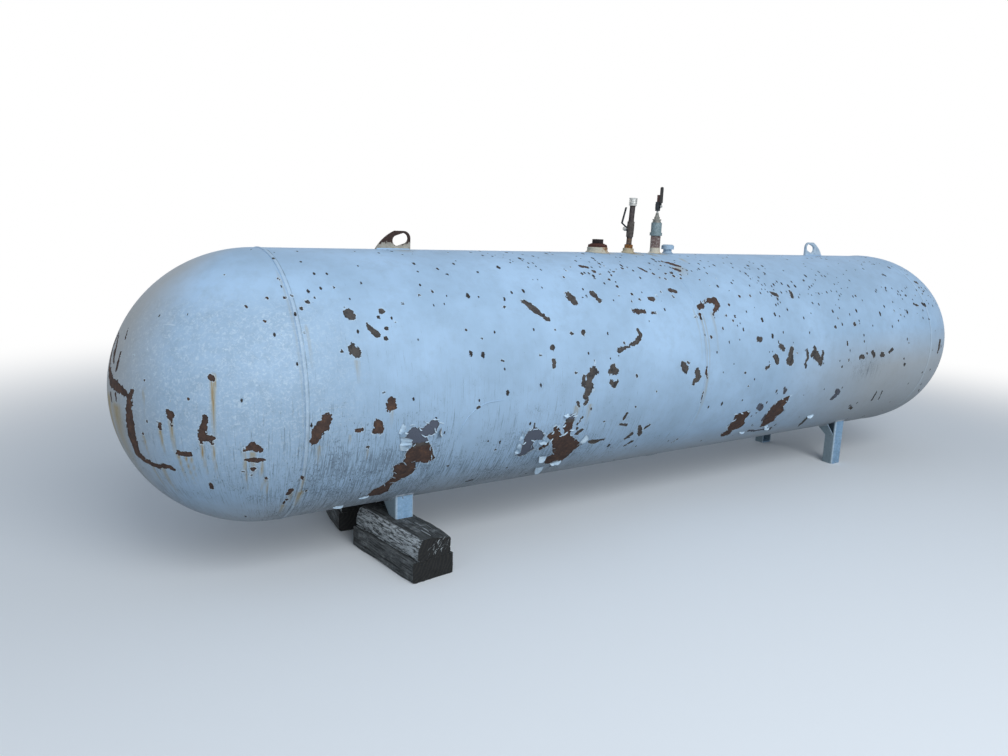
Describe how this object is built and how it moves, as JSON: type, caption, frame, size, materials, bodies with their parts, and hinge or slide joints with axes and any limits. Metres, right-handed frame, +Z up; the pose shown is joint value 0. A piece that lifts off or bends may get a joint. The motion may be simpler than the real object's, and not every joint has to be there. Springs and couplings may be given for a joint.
{
  "type": "horizontal pressure tank",
  "caption": "Horizontal pressure tank with round ends on short welded legs, propped on timbers at one end, with valves and lifting lugs on top.",
  "frame": {"origin": "on the floor, under the middle of the tank", "axes": "+X along the tank towards the end without timbers, +Y to the tank's rear, +Z up"},
  "size_m": [4.8414, 1.0646, 1.5479],
  "materials": {
    "chalky_paint": "chalky white paint, flaking to rust",
    "rusty_plate": "rusted steel",
    "brown_pipe": "brown rusted pipe",
    "grey_lever": "dull pressed steel",
    "zinc": "dull zinc plating",
    "pink_rust": "tarnished, pinkish brown",
    "grey_casting": "grey tarnished casting",
    "white_pipe": "white paint",
    "dark_valve": "dark grey",
    "black_grip": "dipped black vinyl",
    "red_cap": "faded red plastic",
    "weathered_timber": "weathered grey-brown sawn timber"
  },
  "bodies": {
    "tank": {"head_left": "chalky_paint", "head_right": "chalky_paint", "shell_left": "chalky_paint", "shell_right": "chalky_paint", "weld_left": "chalky_paint", "weld_middle": "chalky_paint", "weld_right": "chalky_paint", "leg_left_front": "chalky_paint", "leg_left_rear": "chalky_paint", "leg_right_front": "chalky_paint", "leg_right_rear": "chalky_paint", "timber_upper": "weathered_timber", "timber_lower": "weathered_timber", "timber_upper_rear": "weathered_timber", "timber_lower_rear": "weathered_timber", "lug_left": "rusty_plate", "lug_right": "chalky_paint", "plug_coupling": "rusty_plate", "plug_bushing": "rusty_plate", "pipe_plug": "rusty_plate", "riser_coupling": "chalky_paint", "riser_bushing": "brown_pipe", "lower_nipple": "brown_pipe", "valve_body": "brown_pipe", "upper_nipple": "brown_pipe", "hose_coupling": "zinc", "relief_coupling": "chalky_paint", "relief_inlet": "pink_rust", "relief_housing": "grey_casting", "relief_bonnet": "grey_casting", "bleed_pipe": "white_pipe", "bleed_valve": "dark_valve", "bleed_cap": "red_cap", "cap_coupling": "chalky_paint", "low_cap": "chalky_paint"},
    "valve_handle": {"valve_stem": "zinc", "valve_lever": "grey_lever", "lever_nut": "zinc"},
    "bleed_handle": {"bleed_stem": "zinc", "bleed_lever": "grey_lever", "bleed_grip": "black_grip"}
  },
  "joints": [
    {"name": "valve_turn", "type": "hinge", "parent": "tank", "child": "valve_handle", "pos_m": [-0.05601, 0, 1.33474], "axis": [0.9986, 0, -0.0523], "range_deg": [0, 90]},
    {"name": "bleed_turn", "type": "hinge", "parent": "tank", "child": "bleed_handle", "pos_m": [0.118, 0, 1.4529], "axis": [0, 1, 0], "range_deg": [0, 90]}
  ]
}
